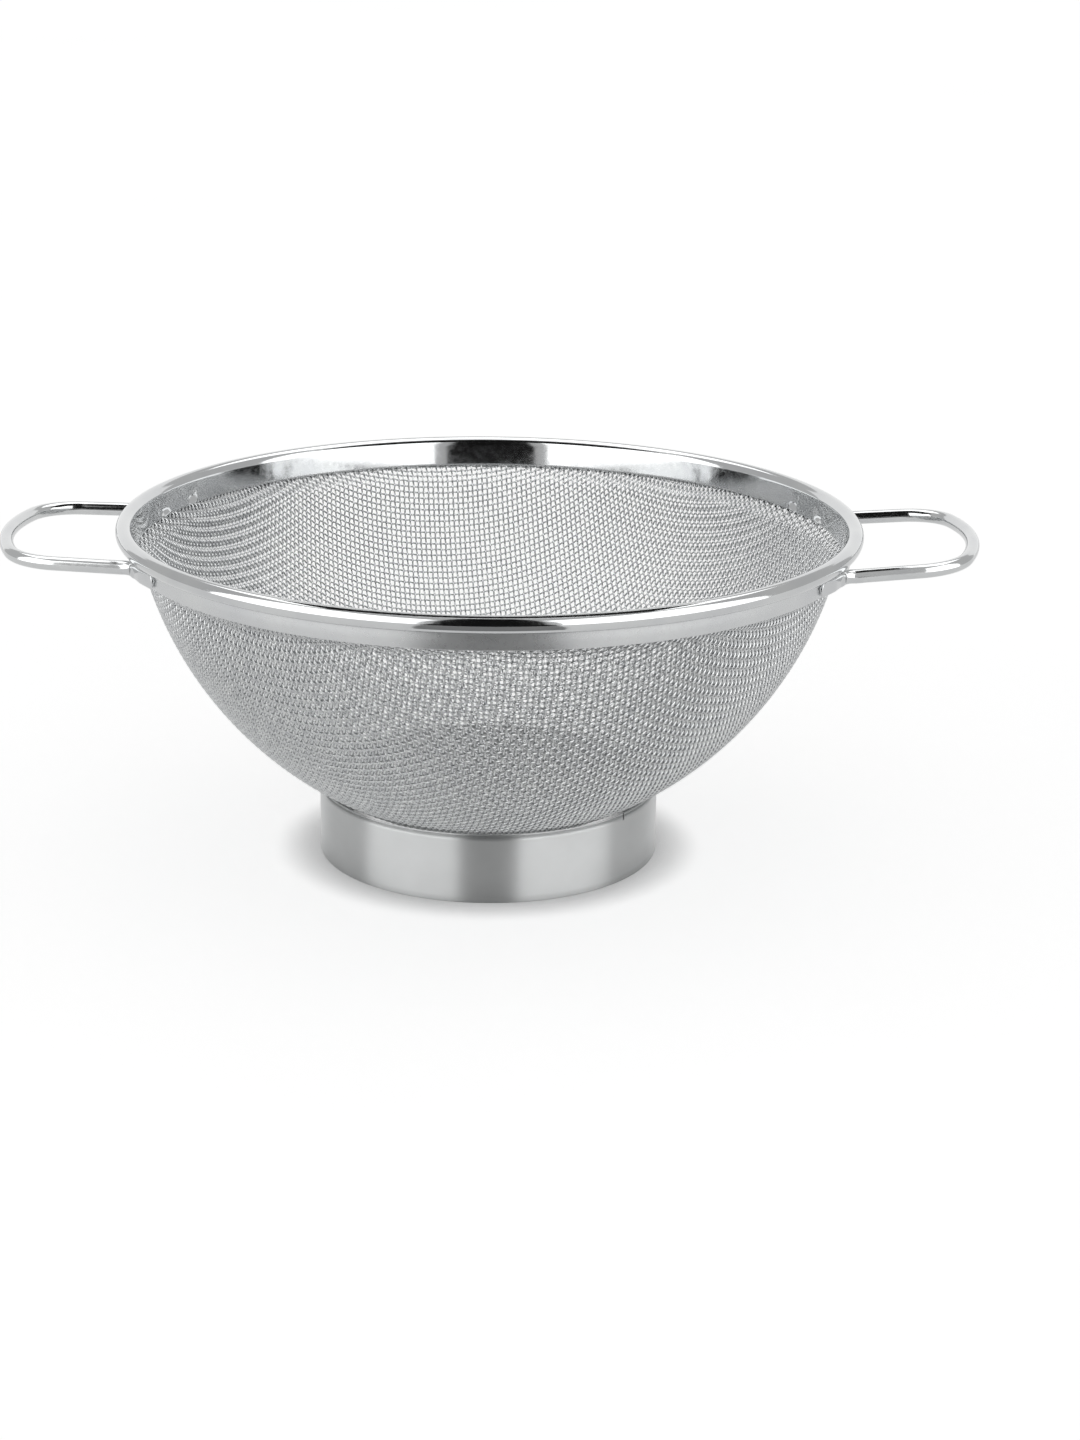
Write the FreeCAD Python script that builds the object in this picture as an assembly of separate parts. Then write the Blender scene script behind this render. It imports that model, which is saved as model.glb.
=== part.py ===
import FreeCAD, Part
import math
import os

# Wire-mesh bowl strainer: a woven bowl clamped in a rolled rim, two wire handles
# welded under the rim, and a sheet foot ring. Every piece is stainless steel.
# Millimetres, +Z up, origin on the floor under the middle of the foot ring.
# The handles lie along X.

# ---- driving dimensions ----
# rim: a folded sheet strip round a core wire
rim_outer_diameter = 240.0
bead_diameter = 5.4
bead_centre_height = 109.5
band_thickness = 0.5
inner_flank_face_radius = 113.6
inner_flank_bottom_height = 102.4
outer_flank_bottom_height = 101.2

# bowl: plain-weave wire cloth, held here as a shell of the cloth's own thickness
mesh_wire_diameter = 0.7
bowl_bottom_height = 9.0
bowl_bottom_arc_radius = 107.0
bowl_bottom_arc_angle = 27.0
bowl_wall_arc_radius = 121.0
bowl_wall_top_angle = 75.5
mesh_edge_radius = 115.15
mesh_edge_height = 104.5
mesh_edge_strip_length = 2.4

# foot: a sheet ring whose top edge is curled outward under the bowl
foot_diameter = 111.6
foot_sheet_thickness = 0.6
foot_lip_diameter = 1.7
foot_seam_direction = -39.0
foot_seam_gap = 0.5

# handles: one bent wire each, with its two ends flattened into welded toes
handle_wire_diameter = 4.4
handle_leg_spacing = 74.0
handle_leg_taper = 3.5
handle_reach = 157.2
handle_end_radius = 74.0
handle_corner_radius = 17.0
handle_height = 104.1
left_handle_rise = 2.3
left_handle_heading = 180.6
right_handle_rise = 4.7
right_handle_heading = -2.4
toe_bend_radius = 5.0
toe_length = 18.0
toe_round_length = 2.0
toe_thickness = 2.0
toe_width = 4.8
toe_corner_radius = 2.0

# ---- worked out from the above ----
bead_radius = bead_diameter / 2
bead_centre_radius = rim_outer_diameter / 2 - bead_radius
core_wire_radius = bead_radius - band_thickness
cloth_thickness = 2 * mesh_wire_diameter
outer_flank_face_radius = mesh_edge_radius + cloth_thickness / 2 + band_thickness
foot_radius = foot_diameter / 2
foot_lip_radius = foot_lip_diameter / 2
handle_wire_radius = handle_wire_diameter / 2
handle_half_spacing = handle_leg_spacing / 2
toe_centre_radius = outer_flank_face_radius + toe_thickness / 2
end_arc_centre_x = handle_reach - handle_wire_radius - handle_end_radius

ORIGIN = FreeCAD.Vector(0, 0, 0)
Y_AXIS = FreeCAD.Vector(0, 1, 0)
Z_AXIS = FreeCAD.Vector(0, 0, 1)


def section_point(radius, height):
    """A point of a half section, in the XZ plane."""
    return FreeCAD.Vector(radius, 0, height)


def polygon_face(points):
    """A face in the XZ plane from (radius, height) pairs."""
    corners = [section_point(radius, height) for radius, height in points]
    return Part.Face(Part.makePolygon(corners + corners[:1]))


def disc_face(radius, height, disc_radius):
    """A round face in the XZ plane."""
    circle = Part.Circle(section_point(radius, height), Y_AXIS, disc_radius)
    return Part.Face(Part.Wire(circle.toShape()))


def turn(face):
    """Revolve a half section into a full solid of revolution."""
    return one_solid(face.revolve(ORIGIN, Z_AXIS, 360))


def one_solid(shape):
    """The single solid that a result holds."""
    solids = shape.Solids
    if len(solids) != 1 or not solids[0].isValid():
        raise ValueError("expected one valid solid, got %d" % len(solids))
    return solids[0]


def bowl_wall_point(angle, offset=0.0):
    """Point of the bowl's section where its slope is the given angle in degrees.

    A positive offset moves the point outward, square to the wall.
    """
    slope = math.radians(angle)
    bottom_slope = math.radians(bowl_bottom_arc_angle)
    if angle <= bowl_bottom_arc_angle:
        radius = bowl_bottom_arc_radius * math.sin(slope)
        height = bowl_bottom_height + bowl_bottom_arc_radius * (1 - math.cos(slope))
    else:
        radius = bowl_bottom_arc_radius * math.sin(bottom_slope)
        radius += bowl_wall_arc_radius * (math.sin(slope) - math.sin(bottom_slope))
        height = bowl_bottom_height + bowl_bottom_arc_radius * (1 - math.cos(bottom_slope))
        height += bowl_wall_arc_radius * (math.cos(bottom_slope) - math.cos(slope))
    return section_point(radius + offset * math.sin(slope), height - offset * math.cos(slope))


def bowl_section_edges(offset):
    """Edges of the bowl's section from its lowest point to its top edge."""
    low = bowl_wall_point(0, offset)
    joint = bowl_wall_point(bowl_bottom_arc_angle, offset)
    top = bowl_wall_point(bowl_wall_top_angle, offset)
    low_middle = bowl_wall_point(bowl_bottom_arc_angle / 2, offset)
    wall_middle = bowl_wall_point((bowl_bottom_arc_angle + bowl_wall_top_angle) / 2, offset)
    strip_foot = section_point(mesh_edge_radius + offset, mesh_edge_height - mesh_edge_strip_length)
    strip_top = section_point(mesh_edge_radius + offset, mesh_edge_height)
    return [
        Part.Arc(low, low_middle, joint).toShape(),
        Part.Arc(joint, wall_middle, top).toShape(),
        Part.LineSegment(top, strip_foot).toShape(),
        Part.LineSegment(strip_foot, strip_top).toShape(),
    ]


def make_mesh_bowl():
    """The woven bowl, as a shell as thick as two crossed wires."""
    inner = bowl_section_edges(-cloth_thickness / 2)
    outer = bowl_section_edges(cloth_thickness / 2)
    rim_edge = Part.LineSegment(inner[-1].Vertexes[-1].Point, outer[-1].Vertexes[-1].Point)
    axis_edge = Part.LineSegment(outer[0].Vertexes[0].Point, inner[0].Vertexes[0].Point)
    outline = Part.Wire(inner + [rim_edge.toShape()] + outer[::-1] + [axis_edge.toShape()])
    return turn(Part.Face(outline))


def make_rim_band():
    """Sheet strip folded round the core wire, with a flank down each face of the cloth."""
    bead = disc_face(bead_centre_radius, bead_centre_height, bead_radius)
    bore = disc_face(bead_centre_radius, bead_centre_height, core_wire_radius)
    bead_inside = bead_centre_radius - bead_radius
    mouth_bottom = bead_centre_height - bead_diameter
    mouth = polygon_face([
        (bead_inside + band_thickness, bead_centre_height),
        (bead_inside + band_thickness, mouth_bottom),
        (outer_flank_face_radius - band_thickness, mouth_bottom),
        (outer_flank_face_radius - band_thickness, bead_centre_height),
    ])
    inner_flank = polygon_face([
        (bead_inside, bead_centre_height),
        (inner_flank_face_radius, inner_flank_bottom_height),
        (inner_flank_face_radius + band_thickness, inner_flank_bottom_height),
        (bead_inside + band_thickness, bead_centre_height),
    ])
    neck_height = bead_centre_height - core_wire_radius
    outer_flank = polygon_face([
        (outer_flank_face_radius, neck_height),
        (outer_flank_face_radius, outer_flank_bottom_height),
        (outer_flank_face_radius - band_thickness, outer_flank_bottom_height),
        (outer_flank_face_radius - band_thickness, neck_height),
    ])
    section = bead.fuse([inner_flank, outer_flank]).cut(bore).cut(mouth)
    return turn(section.removeSplitter().Faces[0])


def make_rim_core_wire():
    """Round stiffening wire inside the bead, a closed ring."""
    return Part.makeTorus(bead_centre_radius, core_wire_radius,
                          FreeCAD.Vector(0, 0, bead_centre_height))


def foot_lip_centre():
    """Section point of the lip's middle: the lip just touches the bowl from below."""
    lip_radius_from_axis = foot_radius - foot_sheet_thickness + foot_lip_radius
    clearance = cloth_thickness / 2 + foot_lip_radius
    low_angle = 0.0
    high_angle = bowl_wall_top_angle
    for _ in range(60):
        angle = (low_angle + high_angle) / 2
        if bowl_wall_point(angle, clearance).x < lip_radius_from_axis:
            low_angle = angle
        else:
            high_angle = angle
    return bowl_wall_point(low_angle, clearance)


def make_foot_ring():
    """Sheet ring with a curled top edge, whose seam shows as a gap in the curl."""
    lip_centre = foot_lip_centre()
    lip = disc_face(lip_centre.x, lip_centre.z, foot_lip_radius)
    wall = polygon_face([
        (foot_radius - foot_sheet_thickness, 0),
        (foot_radius, 0),
        (foot_radius, lip_centre.z),
        (foot_radius - foot_sheet_thickness, lip_centre.z),
    ])
    ring = turn(wall.fuse(lip).removeSplitter().Faces[0])
    gap_length = 3 * foot_lip_diameter
    gap = Part.makeBox(gap_length, foot_seam_gap, foot_lip_diameter,
                       FreeCAD.Vector(foot_radius, -foot_seam_gap / 2, lip_centre.z - foot_lip_radius / 2))
    gap.rotate(ORIGIN, Z_AXIS, foot_seam_direction)
    return one_solid(ring.cut(gap))


def tube_along(edges):
    """Round wire that follows a smooth run of edges."""
    path = Part.Wire(edges)
    start = edges[0].valueAt(edges[0].FirstParameter)
    heading = edges[0].tangentAt(edges[0].FirstParameter)
    profile = Part.Wire(Part.Circle(start, heading, handle_wire_radius).toShape())
    return one_solid(path.makePipeShell([profile], True, True))


def smooth_arc(start, centre, end):
    """Arc shorter than half a turn between two points round a centre."""
    towards_middle = (start - centre) + (end - centre)
    middle = centre + towards_middle.normalize() * (start - centre).Length
    return Part.Arc(start, middle, end).toShape()


def handle_point(x):
    """Point on the handle's own middle line."""
    return FreeCAD.Vector(x, 0, handle_height)


def leg_side():
    """Direction square to the leg on the +Y side, away from the other leg."""
    taper = math.radians(handle_leg_taper)
    return FreeCAD.Vector(math.sin(taper), math.cos(taper), 0)


def beside_leg(offset, centre, radius):
    """Point at an offset outside the +Y leg, and at a radius from a centre on the X axis."""
    aside = leg_side()
    leg_root = FreeCAD.Vector(outer_flank_face_radius, handle_half_spacing, handle_height)
    across = (leg_root - centre).dot(aside) + offset
    forward = FreeCAD.Vector(aside.y, -aside.x, 0)
    return centre + forward * math.sqrt(radius ** 2 - across ** 2) + aside * across


def toe_bend_centre():
    """Middle of the bend between the +Y leg and its toe."""
    return beside_leg(toe_bend_radius, handle_point(0), toe_centre_radius + toe_bend_radius)


def half_handle_edges():
    """Middle line of the wire on the +Y side, from the toe to the end arc."""
    bend_centre = toe_bend_centre()
    outward = FreeCAD.Vector(bend_centre.x, bend_centre.y, 0).normalize()
    bend_end = bend_centre - outward * toe_bend_radius
    round_end = bend_end + FreeCAD.Vector(-outward.y, outward.x, 0) * toe_round_length
    leg_start = bend_centre - leg_side() * toe_bend_radius
    end_centre = handle_point(end_arc_centre_x)
    corner_centre = beside_leg(-handle_corner_radius, end_centre, handle_end_radius - handle_corner_radius)
    leg_end = corner_centre + leg_side() * handle_corner_radius
    join = end_centre + (corner_centre - end_centre).normalize() * handle_end_radius
    return [
        Part.LineSegment(round_end, bend_end).toShape(),
        smooth_arc(bend_end, bend_centre, leg_start),
        Part.LineSegment(leg_start, leg_end).toShape(),
        smooth_arc(leg_end, corner_centre, join),
    ]


def make_handle_wire():
    """The round wire of a handle: a loop with a bend at the root of each leg."""
    half = half_handle_edges()
    join = half[-1].Vertexes[-1].Point
    far_join = FreeCAD.Vector(join.x, -join.y, join.z)
    end_arc = Part.Arc(join, handle_point(handle_reach - handle_wire_radius), far_join).toShape()
    other_half = [edge.mirror(ORIGIN, Y_AXIS) for edge in reversed(half)]
    return tube_along(half + [end_arc] + other_half)


def make_toe_plate():
    """Flattened wire end on the +Y side, curved to lie along the outer flank."""
    low = handle_height - toe_width / 2
    high = handle_height + toe_width / 2
    toe_turn = math.degrees(toe_length / toe_centre_radius)
    plate = polygon_face([
        (outer_flank_face_radius, low),
        (outer_flank_face_radius + toe_thickness, low),
        (outer_flank_face_radius + toe_thickness, high),
        (outer_flank_face_radius, high),
    ]).revolve(ORIGIN, Z_AXIS, toe_turn)
    end_corners = [edge for edge in plate.Edges
                   if edge.CenterOfMass.y > 1.0 and abs(edge.Length - toe_thickness) < 0.01]
    plate = plate.makeFillet(toe_corner_radius, end_corners)
    bend_centre = toe_bend_centre()
    start_turn = math.atan2(bend_centre.y, bend_centre.x) - toe_thickness / toe_centre_radius
    plate.rotate(ORIGIN, Z_AXIS, math.degrees(start_turn))
    return plate


def make_handle(rise, heading):
    """A whole handle, tilted up by the rise, and cut to lie flat on the rim."""
    plate = make_toe_plate()
    wire = make_handle_wire().fuse([plate, plate.mirror(ORIGIN, Y_AXIS)])
    wire.rotate(handle_point(toe_bend_centre().x), Y_AXIS, -rise)
    inside_of_flank = Part.makeCylinder(outer_flank_face_radius, bead_centre_height)
    handle = one_solid(wire.cut(inside_of_flank))
    handle.rotate(ORIGIN, Z_AXIS, heading)
    return handle


PARTS = {
    "mesh_bowl": make_mesh_bowl,
    "rim_band": make_rim_band,
    "rim_core_wire": make_rim_core_wire,
    "foot_ring": make_foot_ring,
    "handle_left": lambda: make_handle(left_handle_rise, left_handle_heading),
    "handle_right": lambda: make_handle(right_handle_rise, right_handle_heading),
}

os.makedirs("parts", exist_ok=True)
for name, make in PARTS.items():
    solid = make()
    box = solid.BoundBox
    print("%-14s volume %9.1f  x %.2f..%.2f  y %.2f..%.2f  z %.2f..%.2f" % (
        name, solid.Volume, box.XMin, box.XMax, box.YMin, box.YMax, box.ZMin, box.ZMax))
    solid.exportStep("parts/%s.step" % name)
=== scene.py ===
import math

import bpy
import numpy as np
from mathutils import Matrix, Vector


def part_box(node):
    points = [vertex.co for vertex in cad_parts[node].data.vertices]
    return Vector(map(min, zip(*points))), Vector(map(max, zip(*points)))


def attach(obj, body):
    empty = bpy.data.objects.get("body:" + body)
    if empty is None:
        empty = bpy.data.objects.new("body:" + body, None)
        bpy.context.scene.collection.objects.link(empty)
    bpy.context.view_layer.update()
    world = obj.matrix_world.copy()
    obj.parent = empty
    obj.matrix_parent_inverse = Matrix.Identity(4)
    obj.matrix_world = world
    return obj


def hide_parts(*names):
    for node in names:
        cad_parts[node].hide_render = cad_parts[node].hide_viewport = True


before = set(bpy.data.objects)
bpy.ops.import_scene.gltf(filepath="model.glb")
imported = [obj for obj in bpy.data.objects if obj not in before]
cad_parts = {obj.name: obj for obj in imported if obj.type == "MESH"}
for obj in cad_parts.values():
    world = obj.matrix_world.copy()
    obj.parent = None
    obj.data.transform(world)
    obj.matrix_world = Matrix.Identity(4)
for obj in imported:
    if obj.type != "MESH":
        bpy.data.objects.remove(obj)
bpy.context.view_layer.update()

# Looks of a wire-mesh bowl strainer: woven bowl, rolled rim, two wire handles and a
# sheet foot ring, all stainless steel. Geometry is worked out in millimetres and
# written to the meshes in metres.

MM = 0.001
UV_LAYER = "OFBake"
STRIP_MARGIN = 0.04


def node_corners(node):
    """Lowest and highest corner of a CAD node, in millimetres."""
    low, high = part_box(node)
    return np.array(low) / MM, np.array(high) / MM


# ---- sizes from the frame ----
rim_low, rim_high = node_corners("rim_band")
core_low, core_high = node_corners("rim_core_wire")
bowl_low, bowl_high = node_corners("mesh_bowl")
_, foot_high = node_corners("foot_ring")

BEAD_CENTRE_HEIGHT = (core_low[2] + core_high[2]) / 2
BEAD_RADIUS = rim_high[2] - BEAD_CENTRE_HEIGHT
CORE_RADIUS = (core_high[2] - core_low[2]) / 2
SHEET = BEAD_RADIUS - CORE_RADIUS
BEAD_CENTRE_RADIUS = rim_high[0] - BEAD_RADIUS
OUTER_FLANK_BOTTOM = rim_low[2]

# ---- rim details ----
INNER_FLANK_RADIUS = 113.6
INNER_FLANK_BOTTOM = 102.4
FLANK_EDGE_ROUND = 0.2
NECK_ROUND = 0.45
OUTER_EDGE_BEND = 0.42
OUTER_EDGE_BEND_TOP = 104.6
RIM_STEP = math.radians(0.75)

# Spot welds: two for each toe, as angles from the handle's heading. The one beside the
# leg has the longer dent.
WELD_ANGLES = (math.radians(17.6), math.radians(27.6))
WELD_DEPTH = 0.75
DENT_HALF_LENGTHS = (6.2, 3.6)
DENT_TOP = BEAD_CENTRE_HEIGHT - 1.0
DENT_ZONE = math.radians(5.0)
DENT_STEP = math.radians(0.2)
DENT_HEIGHT_POWER = 0.8
DENT_LENGTH_POWER = 1.2

# The dull finish starts at the bead's underside and reaches in past the outer flank's back.
SATIN_FADE = 0.4
SATIN_DEPTH = 0.6
SATIN_DEPTH_FADE = 0.2

# ---- woven bowl ----
WIRE_RADIUS = 0.35
CLOTH_HALF = 2 * WIRE_RADIUS
BOTTOM_HEIGHT = bowl_low[2] + CLOTH_HALF
BOTTOM_ARC_RADIUS = 107.0
BOTTOM_ARC_ANGLE = math.radians(27.0)
WALL_ARC_RADIUS = 121.0
WALL_TOP_ANGLE = math.radians(75.5)
EDGE_RADIUS = bowl_high[0] - CLOTH_HALF
EDGE_STRIP_BOTTOM = 102.1
EDGE_STRIP_TOP = 103.6
OUTER_FLANK_RADIUS = EDGE_RADIUS + CLOTH_HALF + SHEET
WIRE_PITCH = 1.78
CLOTH_TURN = math.radians(9.0)
WIRE_SIDES = 6
STEPS_PER_PITCH = 4
CLOTH_PIECES = 6

# How much the pressing has stretched the cloth, at distances from the bowl's pole.
STRETCH_DISTANCES = (0.0, 50.0, 95.0, 125.0, 150.0)
STRETCH_SHARES = (0.0, 0.10, 0.20, 0.18, 0.13)

# The net of crossings is solved this far past the cloth's edge, along its middle wires.
NET_OVERRUN = 8.0

# Each wire is followed this far past the cloth's edge before it is cut off there.
WIRE_OVERRUN = 2.0
SURFACE_OVERRUN = 1.5

# Each crossing is solved in this many steps, none of them longer than the limits.
SOLVER_STEPS = 12
SOLVER_REACH_LIMIT = 1.0
SOLVER_ANGLE_LIMIT = 0.05
SOLVER_LEAST_DETERMINANT = 0.05
SOLVER_FIRST_REACH = 0.7

# A crossing counts when it lands this close past the net's end and its quarter's sides.
REACH_SLACK = 3
ANGLE_SLACK = 0.01

# The corners above the wall are rounded over this many points, about 0.1 mm apart.
FLARE_SMOOTHING = 17
FLARE_LEAD = 12.0
FLARE_OVERRUN = 2.0

# ---- foot ring ----
FOOT_SHEET = 0.6
FOOT_RADIUS = 55.8
LIP_RADIUS = (foot_high[0] - FOOT_RADIUS + FOOT_SHEET) / 2
LIP_CENTRE_RADIUS = foot_high[0] - LIP_RADIUS
LIP_CENTRE_HEIGHT = foot_high[2] - LIP_RADIUS
FOOT_EDGE_ROUND = 0.15
CURL_END_DEGREES = -95
FOOT_STEPS = 480
SEAM_DIRECTION = math.radians(-39.0)
SEAM_GAP = 0.5

# ---- handles ----
HANDLE_WIRE_RADIUS = 2.2
LEG_HALF_SPACING = 37.0
LEG_TAPER = math.radians(3.5)
HANDLE_REACH = 157.2
HANDLE_END_RADIUS = 74.0
HANDLE_CORNER = 17.0
HANDLE_HEIGHT = 104.1
HANDLE_RISES = {"handle_left": math.radians(2.3), "handle_right": math.radians(4.7)}
HANDLE_HEADINGS = {"handle_left": math.radians(180.6), "handle_right": math.radians(-2.4)}
HANDLE_SIDES = 28
TILT_RUN = 3.0
TOE_BEND_RADIUS = 5.0
TOE_LENGTH = 18.0
TOE_SETBACK_DEGREES = 1.0
TOE_HALF_THICKNESS = 1.0
TOE_TIP_HALF_THICKNESS = 0.45
TOE_TIP_LENGTH = 9.0
TOE_TIP_WIDTH_SHARE = 0.12
TOE_HALF_WIDTH = 2.4
FLATTENING_LEAD = 5.0
FLATTENING_LENGTH = 8.0
ROUND_POWER = 2.0
TOE_POWER = 3.6

# ---- camera, in metres ----
CAMERA_DISTANCE = 0.950
CAMERA_ELEVATION = math.radians(17.07)
CAMERA_TARGET_HEIGHT = 0.060
CAMERA_PITCH = math.radians(18.05)
CAMERA_YAW = math.radians(1.06)
CAMERA_ROLL = math.radians(0.74)
CAMERA_LENS = 72.34
CAMERA_SENSOR = 36.0

# ---- studio, in metres and watts ----
WORLD_STRENGTH = 0.57
FLOOR_HALF = 9.0
FLOOR_GLOW = 0.71
FLOOR_IN_REFLECTIONS = 0.80
CONTACT_SHADOW_REACH = 0.016
CONTACT_SHADOW_DEPTH = 3.0

# name: place, target, width, height, power
SOFTBOXES = {
    "left_softbox": ((-0.86, -0.65, 0.9), (0, 0, 0.9), 1.4, 1.8, 12.0),
    "right_softbox": ((0.86, -0.65, 0.9), (0, 0, 0.9), 1.4, 1.8, 12.0),
    "top_softbox": ((0, 0.65, 1.7), (0, 0.1, 0.06), 2.0, 1.4, 13.0),
    "back_softbox": ((0, 2.4, 0.75), (0, 0, 0.75), 4.4, 1.5, 9.0),
}

# name: tone, and the right-hand corners, which are mirrored to the left
CARDS = {
    "front_card": (0.012, ((0.225, -0.66, 0.004), (0.155, -0.59, 0.205), (0.065, -0.158, 1.155))),
    "floor_card": (0.42, ((0.21, -0.65, 0.003), (0.05, -0.15, 0.003))),
    "top_bar": (0.012, ((0.14, -0.10, 0.30), (0.14, 0.06, 0.30))),
}


# ---- mesh building ----

def tube_quads(ring_count, side_count, closed):
    """Faces between neighbouring rings of points, with outward normals."""
    ring = np.arange(ring_count if closed else ring_count - 1)[:, None]
    side = np.arange(side_count)[None, :]
    next_ring = (ring + 1) % ring_count
    next_side = (side + 1) % side_count
    corners = np.broadcast_arrays(ring * side_count + side, ring * side_count + next_side,
                                  next_ring * side_count + next_side, next_ring * side_count + side)
    return np.stack(corners, -1).reshape(-1, 4)


def strip_uv(ring_count, side_count, rows):
    """Corner UVs of a tube's faces, laid out as rows of strips that fill the square."""
    ring = np.arange(ring_count)[:, None]
    side = np.arange(side_count)[None, :]
    per_row = math.ceil(ring_count / rows)
    row = ring // per_row
    left = (ring % per_row) / per_row
    right = left + 1 / per_row
    filled = 1 - 2 * STRIP_MARGIN
    low = (row + STRIP_MARGIN + filled * side / side_count) / rows
    high = (row + STRIP_MARGIN + filled * (side + 1) / side_count) / rows
    left, right, low, high = np.broadcast_arrays(left, right, low, high)
    corners = [(left, low), (left, high), (right, high), (right, low)]
    return np.stack([np.stack(corner, -1) for corner in corners], -2).reshape(-1, 4, 2)


def end_caps(offset, ring_count, side_count):
    """Corner lists of the two faces that close a tube."""
    last = offset + (ring_count - 1) * side_count
    first_cap = [offset + side for side in range(side_count)][::-1]
    return [first_cap, [last + side for side in range(side_count)]]


def add_piece(name, points, quads, uv, material, replaced, caps=()):
    """Make a mesh object from points in millimetres, and join it to the frame."""
    mesh = bpy.data.meshes.new(name)
    cap_corners = [index for cap in caps for index in cap]
    corner_vertices = np.concatenate([quads.ravel(), np.array(cap_corners, int)])
    sizes = np.concatenate([np.full(len(quads), 4), np.array([len(cap) for cap in caps], int)])
    starts = np.concatenate([[0], np.cumsum(sizes)[:-1]])
    mesh.vertices.add(len(points))
    mesh.vertices.foreach_set("co", (points * MM).astype(np.float32).ravel())
    mesh.loops.add(len(corner_vertices))
    mesh.loops.foreach_set("vertex_index", corner_vertices.astype(np.int32))
    mesh.polygons.add(len(sizes))
    mesh.polygons.foreach_set("loop_start", starts.astype(np.int32))
    mesh.update(calc_edges=True)
    mesh.polygons.foreach_set("use_smooth", np.ones(len(sizes), bool))
    layer = mesh.uv_layers.new(name=UV_LAYER)
    corner_uv = np.zeros((len(corner_vertices), 2), np.float32)
    corner_uv[:quads.size] = uv.reshape(-1, 2)
    layer.data.foreach_set("uv", corner_uv.ravel())
    mesh.materials.append(material)
    piece = bpy.data.objects.new(name, mesh)
    bpy.context.scene.collection.objects.link(piece)
    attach(piece, "root")
    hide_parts(replaced)


def arc_points(centre, radius, start, end, count):
    """Points on an arc, from angles in degrees."""
    angles = np.radians(np.linspace(start, end, count))
    return np.stack([centre[0] + radius * np.cos(angles), centre[1] + radius * np.sin(angles)], -1)


def half_round(half_width, half_height, start, end, count):
    """Elliptic arc about the origin that closes the edge of a sheet."""
    angles = np.radians(np.linspace(start, end, count))
    return np.stack([half_width * np.cos(angles), half_height * np.sin(angles)], -1)


def turned(section, angles):
    """Rings of points: a (radius, height) section set at each angle round the axis."""
    radius = section[None, :, 0]
    height = np.broadcast_to(section[None, :, 1], (len(angles), len(section)))
    cos, sin = np.cos(angles)[:, None], np.sin(angles)[:, None]
    return np.stack([radius * cos, radius * sin, height], -1)


# ---- materials ----

class Shader:
    """A material's node tree, with short calls for the nodes used here."""

    def __init__(self, name):
        self.material = bpy.data.materials.new(name)
        self.material.use_nodes = True
        self.tree = self.material.node_tree
        self.surface = self.tree.nodes["Principled BSDF"]

    def node(self, kind, inputs=None, **settings):
        """A new node, with its inputs linked or set and its settings made."""
        made = self.tree.nodes.new(kind)
        for key, value in settings.items():
            setattr(made, key, value)
        for key, value in (inputs or {}).items():
            if isinstance(value, bpy.types.NodeSocket):
                self.tree.links.new(value, made.inputs[key])
            else:
                made.inputs[key].default_value = value
        return made

    def place(self):
        """Position of the shaded point in the object's own frame."""
        return self.node("ShaderNodeTexCoord").outputs["Object"]

    def calculate(self, operation, *values):
        """Result of a maths node."""
        return self.node("ShaderNodeMath", dict(enumerate(values)), operation=operation).outputs[0]

    def noise(self, vector, scale, detail=3.0):
        """Smooth noise between 0 and 1, mostly near the middle."""
        inputs = {"Vector": vector, "Scale": scale, "Detail": detail}
        return self.node("ShaderNodeTexNoise", inputs).outputs["Fac"]

    def spread(self, noise, low, high):
        """Noise brought to a range."""
        return self.mapped(noise, 0.25, 0.75, low, high)

    def mapped(self, value, from_low, from_high, low=0.0, high=1.0):
        """A value brought from one range to another, and held inside it."""
        inputs = {"Value": value, "From Min": from_low, "From Max": from_high,
                  "To Min": low, "To Max": high}
        return self.node("ShaderNodeMapRange", inputs).outputs["Result"]

    def tones(self, value, dark, light):
        """Colour between two tones for a noise value."""
        ramp = self.node("ShaderNodeValToRGB", {"Fac": value})
        ramp.color_ramp.elements[0].position = 0.3
        ramp.color_ramp.elements[0].color = (*dark, 1)
        ramp.color_ramp.elements[1].position = 0.7
        ramp.color_ramp.elements[1].color = (*light, 1)
        return ramp.outputs["Color"]

    def link(self, output, socket):
        """Feed an output to a socket of the surface shader."""
        self.tree.links.new(output, self.surface.inputs[socket])

    def bump(self, height, strength, distance):
        """Shade the surface as if it rose and fell with a value."""
        inputs = {"Height": height, "Strength": strength, "Distance": distance}
        bump = self.node("ShaderNodeBump", inputs)
        self.link(bump.outputs["Normal"], "Normal")


def around_axis(shader):
    """Angle, height and distance from the upright axis at the shaded point."""
    parts = shader.node("ShaderNodeSeparateXYZ", {"Vector": shader.place()}).outputs
    angle = shader.calculate("ARCTAN2", parts["Y"], parts["X"])
    flat = shader.node("ShaderNodeCombineXYZ", {"X": parts["X"], "Y": parts["Y"]}).outputs[0]
    radius = shader.node("ShaderNodeVectorMath", {0: flat}, operation="LENGTH").outputs["Value"]
    return angle, parts["Z"], radius


def polished_steel(name, dark, light, rough_low, rough_high, spot_scale):
    """Polished steel: faint cloudy tone, uneven gloss and a slight ripple."""
    shader = Shader(name)
    position = shader.place()
    clouds = shader.noise(position, spot_scale)
    fine = shader.noise(position, spot_scale * 9, detail=4.0)
    shader.link(shader.tones(clouds, dark, light), "Base Color")
    shader.link(shader.spread(fine, rough_low, rough_high), "Roughness")
    shader.surface.inputs["Metallic"].default_value = 1.0
    shader.bump(clouds, strength=0.1, distance=0.00002)
    return shader


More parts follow.
